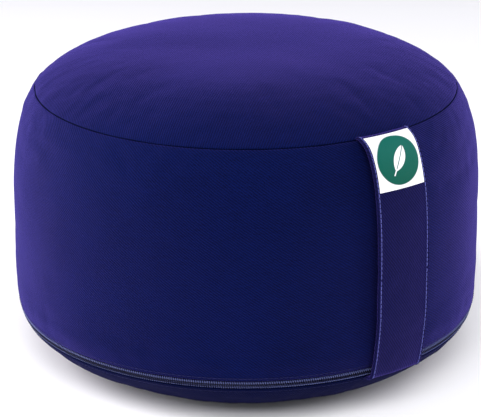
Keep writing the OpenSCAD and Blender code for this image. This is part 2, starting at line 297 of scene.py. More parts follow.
def fabric(name, dark, light, pitch=0.00145, rough=0.85, sheen=0.6, sheen_tint=(0.5, 0.45, 1.0), sheen_rough=0.42,
           bump=0.6, twill=True, slub=0.5, fade=0.5, contrast=0.42, seed=0.0):
    """Woven cloth: yarns by UV in metres, with slubs, pale diagonal ribs and slow fading."""
    m, nt, bsdf = new_mat(name)
    uvn = node(nt, "ShaderNodeUVMap", uv_map="UVMap")
    co = node(nt, "ShaderNodeTexCoord")
    drift = node(nt, "ShaderNodeTexNoise", in_Scale=60.0, in_Detail=2.0)
    nt.links.new(co.outputs["Object"], drift.inputs["Vector"])
    sep = node(nt, "ShaderNodeSeparateXYZ")
    nt.links.new(uvn.outputs[0], sep.inputs[0])
    x, y = sep.outputs[0], sep.outputs[1]

    def wave(kx, ky, wander=0.0):
        p = math_node(nt, "ADD", math_node(nt, "MULTIPLY", x, 2 * math.pi * kx), math_node(nt, "MULTIPLY", y, 2 * math.pi * ky))
        if wander:
            p = math_node(nt, "ADD", p, math_node(nt, "MULTIPLY", drift.outputs[0], wander))
        return math_node(nt, "SINE", p)

    if twill:
        rib = wave(-0.574 / pitch, 0.819 / pitch, 5.0)
        cross = wave(0.94 / (0.62 * pitch), 0.34 / (0.62 * pitch))
        weave = math_node(nt, "ADD", math_node(nt, "MULTIPLY", rib, 0.72), math_node(nt, "MULTIPLY", cross, 0.28))
    else:
        weave = math_node(nt, "MULTIPLY", wave(0.5 / pitch, 0), wave(0, 0.5 / pitch))
    fine = node(nt, "ShaderNodeTexNoise", in_Scale=900.0, in_Detail=3.0, in_Roughness=0.7)
    streak_map = node(nt, "ShaderNodeMapping")
    streak_map.inputs["Scale"].default_value = (90, 900, 1)
    streak_map.inputs["Location"].default_value = (seed, seed * 2, 0)
    nt.links.new(uvn.outputs[0], streak_map.inputs[0])
    streak = node(nt, "ShaderNodeTexNoise", in_Scale=1.0, in_Detail=3.0, in_Roughness=0.6)
    nt.links.new(streak_map.outputs[0], streak.inputs["Vector"])
    slow = node(nt, "ShaderNodeTexNoise", in_Scale=14.0, in_Detail=4.0, in_Roughness=0.55)
    for t in (fine, slow):
        nt.links.new(co.outputs["Object"], t.inputs["Vector"])
    grain = math_node(nt, "MULTIPLY", math_node(nt, "SUBTRACT", fine.outputs[0], 0.5), 0.7)
    slubs = math_node(nt, "MULTIPLY", math_node(nt, "SUBTRACT", streak.outputs[0], 0.5), slub)
    worn = math_node(nt, "MULTIPLY", math_node(nt, "SUBTRACT", slow.outputs[0], 0.5), fade)
    h = math_node(nt, "ADD", math_node(nt, "ADD", math_node(nt, "MULTIPLY", weave, 0.5), grain), slubs)
    fac = math_node(nt, "ADD", math_node(nt, "MULTIPLY", weave, contrast), 0.5)
    for extra in (grain, slubs, worn):
        fac = math_node(nt, "ADD", fac, extra, clamp=extra is worn)
    col = mix_col(nt, fac, dark, light)
    nt.links.new(col, bsdf.inputs["Base Color"])
    b = node(nt, "ShaderNodeBump", in_Strength=bump, in_Distance=0.0003)
    nt.links.new(h, b.inputs["Height"])
    nt.links.new(b.outputs[0], bsdf.inputs["Normal"])
    bsdf.inputs["Roughness"].default_value = rough
    bsdf.inputs["Specular IOR Level"].default_value = 0.04
    bsdf.inputs["Sheen Weight"].default_value = sheen
    bsdf.inputs["Sheen Roughness"].default_value = sheen_rough
    bsdf.inputs["Sheen Tint"].default_value = (*sheen_tint, 1)
    return m, nt, bsdf, col


def plain_cloth(name, dark, light, scale=900, rough=0.8, sheen=0.3, tint=(1, 1, 1), bump=0.3):
    """Thread or cloth with no UVs: fibres by object coordinates."""
    m, nt, bsdf = new_mat(name)
    co = node(nt, "ShaderNodeTexCoord")
    n1 = node(nt, "ShaderNodeTexNoise", in_Scale=float(scale), in_Detail=4.0, in_Roughness=0.65)
    n2 = node(nt, "ShaderNodeTexNoise", in_Scale=40.0, in_Detail=2.0)
    for t in (n1, n2):
        nt.links.new(co.outputs["Object"], t.inputs["Vector"])
    f = math_node(nt, "ADD", math_node(nt, "MULTIPLY", n1.outputs[0], 0.7), math_node(nt, "MULTIPLY", n2.outputs[0], 0.3), clamp=True)
    nt.links.new(mix_col(nt, f, dark, light), bsdf.inputs["Base Color"])
    b = node(nt, "ShaderNodeBump", in_Strength=bump, in_Distance=0.0002)
    nt.links.new(n1.outputs[0], b.inputs["Height"])
    nt.links.new(b.outputs[0], bsdf.inputs["Normal"])
    bsdf.inputs["Roughness"].default_value = rough
    bsdf.inputs["Specular IOR Level"].default_value = 0.25
    bsdf.inputs["Sheen Weight"].default_value = sheen
    bsdf.inputs["Sheen Tint"].default_value = (*tint, 1)
    return m


def metal(name, dark, light, rough=0.32):
    m, nt, bsdf = new_mat(name)
    co = node(nt, "ShaderNodeTexCoord")
    mp = node(nt, "ShaderNodeMapping")
    mp.inputs["Scale"].default_value = (400, 400, 6000)
    nt.links.new(co.outputs["Object"], mp.inputs[0])
    n1 = node(nt, "ShaderNodeTexNoise", in_Scale=1.0, in_Detail=4.0, in_Roughness=0.6)
    nt.links.new(mp.outputs[0], n1.inputs["Vector"])
    nt.links.new(mix_col(nt, n1.outputs[0], dark, light), bsdf.inputs["Base Color"])
    r = node(nt, "ShaderNodeMapRange", in_3=rough - 0.08, in_4=rough + 0.14)
    nt.links.new(n1.outputs[0], r.inputs[0])
    nt.links.new(r.outputs[0], bsdf.inputs["Roughness"])
    b = node(nt, "ShaderNodeBump", in_Strength=0.12, in_Distance=0.0001)
    nt.links.new(n1.outputs[0], b.inputs["Height"])
    nt.links.new(b.outputs[0], bsdf.inputs["Normal"])
    bsdf.inputs["Metallic"].default_value = 1.0
    return m


DARK = (0.0001, 0.0009, 0.012)
LIGHT = (0.0008, 0.0052, 0.060)
TINT = (0.26, 0.17, 1.0)
twill_m, *_ = fabric("indigo_twill", DARK, LIGHT, sheen=0.38, sheen_tint=TINT)
# the base panel: the same twill with its light colour at 0.6 and almost no sheen, painted shade on the underside
base_shade_m, *_ = fabric("indigo_twill_base_painted_shade", DARK, tuple(0.6 * v for v in LIGHT), sheen=0.04, sheen_tint=TINT, seed=5.0)
# darker twill with no sheen: painted shade for the cloth inside the seams and at the zip's folded edges
seam_shade_m, *_ = fabric("indigo_twill_in_seams", tuple(0.9 * v for v in DARK), tuple(0.6 * v for v in LIGHT), sheen=0.0, seed=6.0)
strap_m, *_ = fabric("strap_twill", (0.0011, 0.0016, 0.013), (0.0044, 0.0054, 0.052), sheen=0.38, sheen_tint=TINT, seed=3.0)
thread_m = plain_cloth("indigo_thread", (0.002, 0.003, 0.024), (0.007, 0.010, 0.072), tint=TINT, sheen=0.12)
strap_thread_m = plain_cloth("strap_topstitch", (0.04, 0.05, 0.22), (0.10, 0.11, 0.40), tint=(0.5, 0.5, 1), sheen=0.4)
white_thread_m = plain_cloth("white_thread", (0.60, 0.60, 0.64), (0.86, 0.86, 0.90), sheen=0.2)
tape_m, *_ = fabric("zip_tape_weave", (0.0015, 0.002, 0.014), (0.005, 0.006, 0.034), pitch=0.0008, twill=False, sheen=0.15, sheen_tint=TINT)
coil_m = plain_cloth("nylon_coil", (0.040, 0.050, 0.17), (0.105, 0.130, 0.34), scale=400, rough=0.38, sheen=0.0, bump=0.1)
coil_m.node_tree.nodes["Principled BSDF"].inputs["Specular IOR Level"].default_value = 0.5
# near-black coil where the rows hook together: painted shade in the recess between the two rows
coil_head_shade_m = plain_cloth("nylon_coil_heads_painted_shade", (0.001, 0.002, 0.016), (0.004, 0.005, 0.030), scale=400, rough=0.7, sheen=0.0, bump=0.1)
metal_m = metal("plated_steel", (0.40, 0.41, 0.43), (0.62, 0.63, 0.65))
muslin_m, *_ = fabric("muslin", (0.55, 0.50, 0.40), (0.78, 0.74, 0.64), pitch=0.0008, twill=False, sheen=0.2, sheen_tint=(1, 1, 1))
muslin_thread_m = plain_cloth("cotton_thread", (0.60, 0.56, 0.46), (0.80, 0.76, 0.68))
liner_coil_m = plain_cloth("liner_coil", (0.62, 0.60, 0.52), (0.80, 0.78, 0.70), scale=500, rough=0.4, sheen=0.0, bump=0.1)


def use(o, m):
    o.data.materials.clear()
    o.data.materials.append(m)
    return o


# ------------------------------------------------------------------ simulation
def pressure_field():
    """The cover inflated by cloth simulation with its seams held: how far each point of the body moves in or out,
    as points and distances in millimetres, with the part that is the same all the way round taken off."""
    n_a = 120
    ang = np.linspace(0, 2 * math.pi, n_a, endpoint=False)
    rows = [DOME.at(s) for s in np.linspace(4, DOME.len, 26)] + [SIDE.at(s) for s in np.linspace(5, SIDE.len - 4, 30)] \
        + [BASE.at(s) for s in np.linspace(0, BASE.len - 6, 30)]
    rz = np.array(rows) * 0.99 + np.array([0, 0.9])
    pts = spin(rz[:, None, :].repeat(n_a, 1), ang[None, :])
    o = lattice("sim_start", pts, first=(0, 0, rz[0, 1] * MM), last=(0, 0, rz[-1, 1] * MM))
    outward(o)
    rm = o.modifiers.new("r", "REMESH")
    rm.mode, rm.voxel_size = "VOXEL", 0.0052
    dg = bpy.context.evaluated_depsgraph_get()
    me = bpy.data.meshes.new_from_object(o.evaluated_get(dg))
    bpy.data.objects.remove(o)
    o = bpy.data.objects.new("sim", me)
    bpy.context.scene.collection.objects.link(o)
    co = np.empty(len(me.vertices) * 3)
    me.vertices.foreach_get("co", co)
    co = co.reshape(-1, 3)
    no = np.empty(len(me.vertices) * 3)
    me.vertices.foreach_get("normal", no)
    no = no.reshape(-1, 3)
    kick = np.array([noise.noise(Vector(c) * 26.0) * 0.9 + noise.noise(Vector(c) * 75.0 + Vector((5, 1, 2))) * 0.5 for c in co])
    co2 = co + no * (kick * MM)[:, None]
    me.vertices.foreach_set("co", co2.ravel())
    me.update()
    r = np.hypot(co[:, 0], co[:, 1]) / MM
    z = co[:, 2] / MM
    d_top = np.hypot(r - SEAM_R * 0.99, z - (SEAM_Z * 0.99 + 0.9))
    d_zip = np.hypot(r - ZIP_R * 0.99, z - (ZIP_Z * 0.99 + 0.9))
    d_rest = np.where(r < REST_R * 0.98, np.abs(z - 0.9), 99)
    pin = np.clip(1.6 - np.minimum(np.minimum(d_top, d_zip) / 3.2, d_rest / 2.0), 0, 1)
    g = o.vertex_groups.new(name="pin")
    for i in np.nonzero(pin > 0)[0]:
        g.add([int(i)], float(pin[i]), "REPLACE")
    cl = o.modifiers.new("cloth", "CLOTH")
    st = cl.settings
    st.quality = 6
    st.mass = 0.3
    st.tension_stiffness = st.compression_stiffness = 18
    st.shear_stiffness = 8
    st.bending_stiffness = 0.35
    st.tension_damping = st.compression_damping = 8
    st.use_pressure = True
    st.uniform_pressure_force = 4.0
    st.shrink_min = -0.022
    st.vertex_group_mass = "pin"
    st.effector_weights.gravity = 0
    cl.collision_settings.use_collision = False
    sc = bpy.context.scene
    cl.point_cache.frame_start, cl.point_cache.frame_end = 1, 20
    for f in range(1, 21):
        sc.frame_set(f)
    dg = bpy.context.evaluated_depsgraph_get()
    ev = o.evaluated_get(dg).to_mesh()
    out = np.empty(len(ev.vertices) * 3)
    ev.vertices.foreach_get("co", out)
    out = out.reshape(-1, 3)
    sc.frame_set(1)
    move = ((out - co) * no).sum(1) / MM
    # the mean round the body, by place along the meridian, comes off
    key = np.arctan2(z - 95, r)
    bins = np.digitize(key, np.linspace(key.min(), key.max(), 46))
    for b in np.unique(bins):
        m = bins == b
        move[m] -= np.median(move[m])
    move = np.clip(move, -3.2, 2.4)
    print("simulated", len(co), "points, spread", np.percentile(move, [2, 25, 75, 98]).round(2))
    me_co = co.copy()
    bpy.data.objects.remove(o)
    return me_co, move


SIM = pressure_field()
TREE = KDTree(len(SIM[0]))
for i, c in enumerate(SIM[0]):
    TREE.insert(c, i)
TREE.balance()


def shape_noise(p):
    """Slow unevenness of a filled cushion, in millimetres."""
    v = Vector(p)
    return noise.noise(v * 11.0 + Vector((3, 8, 1))) * 1.3 + noise.noise(v * 24.0 + Vector((9, 2, 4))) * 0.6


def move_field(pts, gain=1.0):
    """Displacement outward in millimetres at points in metres, from the simulation and the slow unevenness."""
    flat = pts.reshape(-1, 3)
    out = np.empty(len(flat))
    for i, p in enumerate(flat):
        d = shape_noise(p)
        if SIM is not None:
            near = TREE.find_n(p, 5)
            w = [1 / (q[2] + 0.0006) ** 2 for q in near]
            d += 0.42 * sum(a * SIM[1][q[1]] for a, q in zip(w, near)) / sum(w)
        out[i] = d
    return out.reshape(pts.shape[:-1]) * gain


def settle(pts, depth_dir, gain, hold):
    """pts moved along the outward directions by the field, less where hold is near 1."""
    d = move_field(pts, gain) * (1 - hold)
    return pts + depth_dir * (d * MM)[..., None]


# ------------------------------------------------------------------ cover
JOIN = math.pi / 2            # the side join is at the back


def angles(n=540):
    a = np.linspace(0, 2 * math.pi, n, endpoint=False)
    return a


def with_join(n=540):
    """Angles that start at the join, with fine columns beside it."""
    fine = np.array([0.0, 0.0025, 0.005, 0.009, 0.015, 0.023])
    rest = np.linspace(0.034, 2 * math.pi - 0.034, n)
    d = np.concatenate([fine, rest, 2 * math.pi - fine[:0:-1]])
    return JOIN + d


def roll(e, rad=1.15, deep=2.6):
    """Depth of a panel's edge as it turns into a seam. e is the distance from the seam; below 0 it goes on down."""
    e = np.asarray(e, float)
    q = np.clip(1 - e / rad, 0, 1)
    d = rad * (1 - np.sqrt(np.clip(1 - q * q, 0, 1)))
    return np.where(e < 0, rad + np.clip(-e, 0, deep), d)


EDGE_E = np.array([-2.4, -1.2, -0.5, 0.0, 0.03, 0.09, 0.2, 0.38, 0.62, 0.95, 1.5, 2.3, 3.3, 4.5, 5.9, 7.6, 9.6, 12.0, 15.0])


def gathers(ang, seed, e, reach=6.0, amp=0.36):
    """Small puckers beside a seam: short ridges that die away from it. One row at distance e."""
    g = wob(ang, 44, seed) * 0.55 + wob(ang, 95, seed + 2) * 0.6
    strong = 0.45 + 0.75 * smooth(0.5 + 0.9 * wob(ang, 5, seed + 5))
    return g * strong * amp * np.exp(-max(e, 0) / reach)


def panel(name, path, s_of, e_of, ang, reach_top, reach_low, field=1.0, flip=False, join=False, first=None, last=None, uv=None):
    pass


def radial(path, s, ang):
    """Outward direction in space at places along a path."""
    n = path.out(s)
    return np.stack([n[..., 0] * np.cos(ang), n[..., 0] * np.sin(ang), n[..., 1]], -1)


def seam_hold(e, reach=9.0):
    return np.exp(-np.clip(e, 0, None) / reach)


def join_depth(ang, z=None):
    e = np.abs((ang - JOIN + math.pi) % (2 * math.pi) - math.pi) * R
    return roll(e, 0.8, 0) * 1.2 + 0.5 * np.exp(-e / 3.0)


# --- top panel
A = angles()
seam = EDGE_E
inner = np.concatenate([np.linspace(DOME.len - 18.5, 8.0, 44), [5.0, 2.5, 1.0]])
e_rows = np.concatenate([seam, DOME.len - 0.24 - inner])          # distance from the seam
E = e_rows[:, None].repeat(len(A), 1)
ANG = A[None, :].repeat(len(e_rows), 0)
S = DOME.len - 0.24 - np.clip(E, 0, None)
depth = roll(E) + 0.75 * np.exp(-np.clip(E, 0, None) / 4.0)
for i, e in enumerate(e_rows):
    if e < 40:
        depth[i] -= gathers(A, 1.0, e) * (1 if e > -0.1 else 0.6)
rz = DOME.at(S, depth)
P = spin(rz, ANG)
P = settle(P, radial(DOME, S, ANG), 0.8, seam_hold(E, 10))
uvx = np.concatenate([ANG, ANG[:, :1] + 2 * math.pi], 1)
Sx = np.concatenate([S, S[:, :1]], 1)
uv = np.stack([Sx * np.cos(uvx), Sx * np.sin(uvx)], -1) * MM
centre = P[-1].mean(0)
top = lattice("cover_top_twill", P, uv=uv, last=centre)
outward(top)
use(top, twill_m)
in_seam(top, len(P), len(A), [i for i in range(len(e_rows) - 1) if e_rows[i + 1] < 0.4])
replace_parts(top, "cover_top_panel")
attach(top, "cushion")

# --- side panel: from the top seam down to the folded edge above the zip
AJ = with_join()
zip_lo = math.radians(ZIP_A0)
zip_hi = math.radians(ZIP_A0 + ZIP_ARC)


def edge_gap(ang):
    """Distance from the zip line to the folded edge: wide beside the chain, closed in the plain seam behind."""
    a = (ang - zip_lo) % (2 * math.pi)
    inside = np.minimum(a, zip_hi - zip_lo - a)
    return 0.12 + (EDGE - 0.12) * smooth((inside + 0.004) / 0.03)


gap_j = edge_gap(AJ)
up_e = EDGE_E
low_e = EDGE_E[::-1]
mid_f = np.linspace(0, 1, 66)[1:-1]
rows_s, rows_top, rows_low = [], [], []
for e in up_e:
    rows_s.append(np.full(len(AJ), max(e, 0.0) + 0.24))
    rows_top.append(np.full(len(AJ), e))
    rows_low.append(np.full(len(AJ), 200.0))
lim = SIDE.len - gap_j
for f in mid_f:
    s = 15.24 + (lim - 30.24) * f
    rows_s.append(s)
    rows_top.append(s - 0.24)
    rows_low.append(lim - s)
for e in low_e:
    rows_s.append(lim - max(e, 0.0))
    rows_top.append(np.full(len(AJ), 150.0))
    rows_low.append(np.full(len(AJ), e))
S, ET, EL = np.array(rows_s), np.array(rows_top), np.array(rows_low)
ANG = AJ[None, :].repeat(len(S), 0)
depth = roll(ET) + 0.75 * np.exp(-np.clip(ET, 0, None) / 4.0) + roll(EL, 0.75, 2.0) \
    + 0.25 * np.exp(-np.clip(EL, 0, None) / 4.0)
depth += join_depth(ANG) * (ET > 0) * (EL > 0)
for i in range(len(S)):
    e1, e2 = ET[i].mean(), EL[i].mean()
    if e1 < 45:
        depth[i] -= gathers(AJ, 3.0, e1) * (1 if e1 > -0.1 else 0.6)
    if e2 < 40:
        depth[i] -= gathers(AJ, 6.0, e2, 5.0, 0.22) * (1 if e2 > -0.1 else 0.5)
rz = SIDE.at(S, depth)
P = spin(rz, ANG)
P = settle(P, radial(SIDE, S, ANG), 1.0, np.maximum(seam_hold(ET, 10), seam_hold(EL, 9)))
uvx = np.concatenate([ANG, ANG[:, :1] + 2 * math.pi], 1)
Sx = np.concatenate([S, S[:, :1]], 1)
uv = np.stack([uvx * R, Sx], -1) * MM
side = lattice("cover_side_twill", P, uv=uv)
outward(side)
use(side, twill_m)
in_seam(side, len(P), len(AJ), [i for i in range(len(S) - 1) if ET[i + 1].max() < 0.4 or EL[i].max() < 0.25])
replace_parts(side, "cover_side_panel")
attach(side, "cushion")

# --- base panel
gap_a = edge_gap(A)
rows_s, rows_e = [], []
for e in EDGE_E:
    rows_s.append(gap_a + max(e, 0.0))
    rows_e.append(np.full(len(A), e))
for f in np.linspace(0, 1, 60)[1:]:
    s = gap_a + 15 + (BASE.len - 1.0 - gap_a - 15) * f
    rows_s.append(s)
    rows_e.append(s - gap_a)
S, E = np.array(rows_s), np.array(rows_e)
ANG = A[None, :].repeat(len(S), 0)
depth = roll(E, 0.75, 2.0) + 0.25 * np.exp(-np.clip(E, 0, None) / 4.0)
for i in range(len(S)):
    e = E[i].mean()
    if e < 36:
        depth[i] -= gathers(A, 9.0, e, 5.0, 0.24) * (1 if e > -0.1 else 0.5)
rz = BASE.at(S, depth)
P = spin(rz, ANG)
rr = np.hypot(P[..., 0], P[..., 1]) / MM
rest_hold = smooth((REST_R + 14 - rr) / 14)
P = settle(P, radial(BASE, S, ANG), 0.8, np.maximum(seam_hold(E, 8), rest_hold))
P[..., 2] = np.maximum(P[..., 2], 0.00015)
uvx = np.concatenate([ANG, ANG[:, :1] + 2 * math.pi], 1)
rrx = np.concatenate([(BASE.len - S), (BASE.len - S)[:, :1]], 1)
uv = np.stack([rrx * np.cos(uvx), rrx * np.sin(uvx)], -1) * MM
base = lattice("cover_base_twill", P, uv=uv, last=P[-1].mean(0))
outward(base, (0, 0, 0.05))
# painted shade: the base panel gets the darker, nearly sheen-less twill
use(base, base_shade_m)
in_seam(base, len(P), len(A), [i for i in range(len(S) - 1) if E[i + 1].max() < 0.25])
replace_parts(base, "cover_base_panel")
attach(base, "cushion")


# ------------------------------------------------------------------ zip
def zip_point(s, depth, ang):
    """A point by distance from the zip line (up is positive), depth below the cover and angle."""
    s = np.asarray(s, float)
    up = SIDE.at(SIDE.len - np.clip(s, 0, None), depth)
    dn = BASE.at(np.clip(-s, 0, None), depth)
    rz = np.where((s >= 0)[..., None], up, dn)
    return spin(rz, ang)


za = np.linspace(zip_lo + 0.006, zip_hi - 0.006, 640)
for name, sign, nodename in (("zip_tape_upper_weave", 1, "zip_tape_upper"), ("zip_tape_lower_weave", -1, "zip_tape_lower")):
    ss = sign * np.array([0.5, 0.5, 1.6, 2.8, 3.6, 4.6, 6.5, 9.0, 13.0, 13.0])
    dd = np.array([2.6, 2.1, 2.06, 2.03, 2.05, 2.15, 2.2, 2.2, 2.2, 2.7])
    G = zip_point(ss[:, None].repeat(len(za), 1), dd[:, None].repeat(len(za), 1), za[None, :])
    uv = np.stack([za[None, :].repeat(len(ss), 0) * ZIP_R, ss[:, None].repeat(len(za), 1)], -1) * MM
    o = lattice(name, G, wrap=False, uv=uv)
    outward(o, (0, 0, 0.09))
    use(o, tape_m)
    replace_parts(o, nodename)
    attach(o, "cushion")

PITCH = 1.42
n_turn = int((math.radians(ZIP_ARC - 5.4) * ZIP_R) / PITCH)
for name, sign, nodename in (("zip_coil_upper_teeth", 1, "zip_coil_upper"), ("zip_coil_lower_teeth", -1, "zip_coil_lower")):
    per = 9
    t = np.arange(n_turn * per + 1) / per + (0.5 if sign < 0 else 0.0)
    ang = math.radians(ZIP_A0 + 2.7) + t * PITCH / ZIP_R
    ph = 2 * math.pi * t
    c = np.cos(ph)
    # flattened loops that reach the middle line; where the two rows hook together the loops get a near-black material,
    # painted shade in the recess between the rows
    s = 1.26 + 0.94 * np.sign(c) * np.abs(c) ** 0.9
    hook_shade_faces = np.repeat((s[1:] + s[:-1]) / 2 < 1.25, 5)
    d = 1.14 - 0.84 * np.sin(ph)
    open_ = 0.9 * smooth((math.radians(SLIDER_A - 0.6) - ang) / math.radians(2.2))
    s = sign * (s + open_)
    G = zip_point(s, d, ang)
    ref = G + 0
    up_dir = np.stack([np.cos(ang), np.sin(ang), np.full_like(ang, -0.28)], -1)
    v, f = tube([(G, up_dir)], 0.33 * MM, 5)
    o = make(name, v, f)
    use(o, coil_m)
    o.data.materials.append(coil_head_shade_m)
    o.data.polygons.foreach_set("material_index", np.concatenate([hook_shade_faces, [False, False]]).astype(np.int32))
    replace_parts(o, nodename)
    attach(o, "cushion")


def dashes(place, start, stop, length, gap, lift=0.0, rad=0.2, n=5):
    """Stitches along place(t, depth): each is a short bowed thread that dips in at its ends."""
    out = []
    t = start
    while t + length < stop:
        u = np.linspace(0, 1, n)
        d = 0.18 - 0.26 * np.sin(u * math.pi) ** 0.6 - lift
        p = np.array([place(t + length * k, dk) for k, dk in zip(u, d)])
        p2 = np.array([place(t + length * k, dk - 0.5) for k, dk in zip(u, d)])
        out.append((p, p2 - p))
        t += length + gap
    return out


def zip_row(s):
    def place(t, d):
        a = zip_lo + 0.012 + t / ZIP_R
        q = zip_point(np.array([s]), np.array([d]), np.array([a]))[0]
        return q
    return place


rows = []
span = math.radians(ZIP_ARC) * ZIP_R - 5
for s in (EDGE + 2.1, -EDGE - 2.1):
    rows += dashes(zip_row(s), 0.0, span, 2.5, 0.6)
v, f = tube(rows, 0.17 * MM, 5)
o = make("zip_tape_stitches", v, f)
use(o, thread_m)
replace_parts(o, "zip_tape_stitching")
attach(o, "cushion")

# the metal stops at the chain's two ends
v, f = [], []


def stop(a, s0, s1):
    global v, f
    ss = np.linspace(s0, s1, 7)
    base_i = len(v)
    ring = []
    for da, dd in ((-0.55, 1.5), (-0.55, 0.3), (-0.35, 0.05), (0, -0.05), (0.35, 0.05), (0.55, 0.3), (0.55, 1.5)):
        ring.append(zip_point(ss, np.full(7, dd) + 0.25 * (np.abs(np.linspace(-1, 1, 7)) ** 4), np.full(7, a + da / ZIP_R)))
    ring = np.array(ring)
    v += ring.reshape(-1, 3).tolist()
    for i in range(6):
        for j in range(6):
            f.append([base_i + i * 7 + j, base_i + i * 7 + j + 1, base_i + (i + 1) * 7 + j + 1, base_i + (i + 1) * 7 + j])
    f.append([base_i + i * 7 for i in range(7)])
    f.append([base_i + i * 7 + 6 for i in reversed(range(7))])


stop(math.radians(ZIP_A0 + 2.0), 0.8, 3.2)
stop(math.radians(ZIP_A0 + 2.0), -0.8, -3.2)
stop(math.radians(ZIP_A0 + ZIP_ARC - 2.0), -2.8, 2.8)
o = make("zip_end_stop_clips", v, f)
use(o, metal_m)
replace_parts(o, "zip_end_stops")
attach(o, "cushion")


def on_zip(r, z, tilt, angle):
    return Matrix.Rotation(math.radians(angle), 4, "Z") @ Matrix.Translation((r * MM, 0, z * MM)) @ Matrix.Rotation(tilt, 4, "Y")


def rounded(name, boxes, width=0.22, segs=3):
    """Prisms joined in one object with rounded edges: each is (x0, x1, outline in y and z)."""
    import bmesh
    bm = bmesh.new()
    for x0, x1, pts in boxes:
        a = [bm.verts.new((x0 * MM, y * MM, z * MM)) for y, z in pts]
        b = [bm.verts.new((x1 * MM, y * MM, z * MM)) for y, z in pts]
        bm.faces.new(list(reversed(a)))
        bm.faces.new(b)
        for i in range(len(a)):
            j = (i + 1) % len(a)
            bm.faces.new([a[i], a[j], b[j], b[i]])
    bmesh.ops.recalc_face_normals(bm, faces=bm.faces)
    me = bpy.data.meshes.new(name)
    bm.to_mesh(me)
    bm.free()
    o = bpy.data.objects.new(name, me)
    bpy.context.scene.collection.objects.link(o)
    bv = o.modifiers.new("bevel", "BEVEL")
    bv.width, bv.segments, bv.limit_method = width * MM, segs, "ANGLE"
    bv.angle_limit = math.radians(30)
    dg = bpy.context.evaluated_depsgraph_get()
    me2 = bpy.data.meshes.new_from_object(o.evaluated_get(dg))
    o.modifiers.clear()
    o.data = me2
    for p in me2.polygons:
        p.use_smooth = True
    return o


def oval(y0, y1, w, n=10):
    """An outline with round ends along y."""
    pts = []
    for k in range(n + 1):
        a = -math.pi / 2 + math.pi * k / n
        pts.append((y1 - w + w * math.cos(a), w * math.sin(a)))
    for k in range(n + 1):
        a = math.pi / 2 + math.pi * k / n
        pts.append((y0 + w + w * math.cos(a), w * math.sin(a)))
    return pts


def slider(name, k, out, back, m):
    fr = [(-5, -2.5), (-4.6, -2.8), (1.5, -3.45), (4.2, -3.5), (5, -2.9), (5, 2.9), (4.2, 3.5), (1.5, 3.45), (-4.6, 2.8), (-5, 2.5)]
    bk = [(-5, -1.8), (2, -2.2), (5, -2), (5, 2), (2, 2.2), (-5, 1.8)]
    sc = lambda pts: [(a * k, b * k) for a, b in pts]
    o = rounded(name, [
        (out, out + 0.6 * k, sc(fr)), (back - 0.6 * k, back, sc(bk)),
        (back - 0.1, out + 0.1, [(1 * k, -0.2), (4 * k, -0.2), (4 * k, 0.2), (1 * k, 0.2)]),
        (out + 0.5 * k, out + 1.5 * k, sc([(-4, -1.1), (-2.8, -1.1), (-2.8, 1.1), (-4, 1.1)])),
        (out + 0.5 * k, out + 1.5 * k, sc([(2.8, -1.1), (4, -1.1), (4, 1.1), (2.8, 1.1)])),
        (out + 1.4 * k, out + 1.9 * k, sc([(-4, -1.1), (4, -1.1), (4, 1.1), (-4, 1.1)])),
    ], 0.14 * k)
    use(o, metal_m)
    o.matrix_world = m
    return o


def pull(name, k, x, reach, m):
    """A pressed tab with a window and a cross bar."""
    import bmesh
    bm = bmesh.new()
    t = 0.29 * k
    # outline and window as rings of the same count
    n = 40
    def ring(y0, y1, w, rnd):
        pts = []
        cy, hy = (y0 + y1) / 2, (y1 - y0) / 2
        for i in range(n):
            a = 2 * math.pi * i / n
            c, s_ = math.cos(a), math.sin(a)
            e = 2 / rnd
            pts.append((cy + hy * math.copysign(abs(c) ** e, c), w * math.copysign(abs(s_) ** e, s_)))
        return pts
    outer = ring(-0.35 * k, reach * k, 2.7 * k, 5)
    hole = ring(0.5 * k, 5.0 * k, 1.45 * k, 5)
    layers = []
    for pts in (outer, hole):
        for z in (-t, t):
            layers.append([bm.verts.new(((x + z) * MM, a * MM, b * MM)) for a, b in pts])
    o0, o1, h0, h1 = layers
    for i in range(n):
        j = (i + 1) % n
        bm.faces.new([o0[i], o0[j], o1[j], o1[i]])
        bm.faces.new([h0[j], h0[i], h1[i], h1[j]])
        bm.faces.new([o1[i], o1[j], h1[j], h1[i]])
        bm.faces.new([o0[j], o0[i], h0[i], h0[j]])
    bmesh.ops.recalc_face_normals(bm, faces=bm.faces)
    me = bpy.data.meshes.new(name)
    bm.to_mesh(me)
    bm.free()
    o = bpy.data.objects.new(name, me)
    bpy.context.scene.collection.objects.link(o)
    bv = o.modifiers.new("bevel", "BEVEL")
    bv.width, bv.segments, bv.limit_method = 0.12 * k * MM, 2, "ANGLE"
    dg = bpy.context.evaluated_depsgraph_get()
    me2 = bpy.data.meshes.new_from_object(o.evaluated_get(dg))
    o.modifiers.clear()
    # the cross bar
    bar = np.array([[x * MM, 0, z * MM] for z in np.linspace(-1.6 * k, 1.6 * k, 5)])
    vb, fb = tube([(bar, np.array([[1.0, 0, 0]] * 5))], 0.29 * k * MM, 10)
    base_i = len(me2.vertices)
    vv = [tuple(q.co) for q in me2.vertices] + [tuple(q) for q in vb]
    ff = [list(p.vertices) for p in me2.polygons] + [[i + base_i for i in q] for q in fb]
    bpy.data.objects.remove(o)
    o = make(name, vv, ff)
    use(o, metal_m)
    o.matrix_world = m
    return o


m = on_zip(ZIP_R, ZIP_Z, LEAN, SLIDER_A)
sl = slider("zip_slider_body", 1.0, 0.35, -3.2, m)
sl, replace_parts(sl, "zip_slider"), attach(sl, "zip_slider")
pu = pull("zip_pull", 1.0, 1.35, 13, m)
pu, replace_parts(pu, "zip_pull_tab"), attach(pu, "zip_pull")


# ------------------------------------------------------------------ strap
STRAP_LOW = ZIP_Z - 3.2 * math.cos(LEAN)
STRAP_TOP = SEAM_Z - 0.1
STRAP_GAP, ZIP_ROOM, LOW_IN, STRAP_W, STRAP_T = 6.2, 3.0, 0.80, 40.0, 2.2


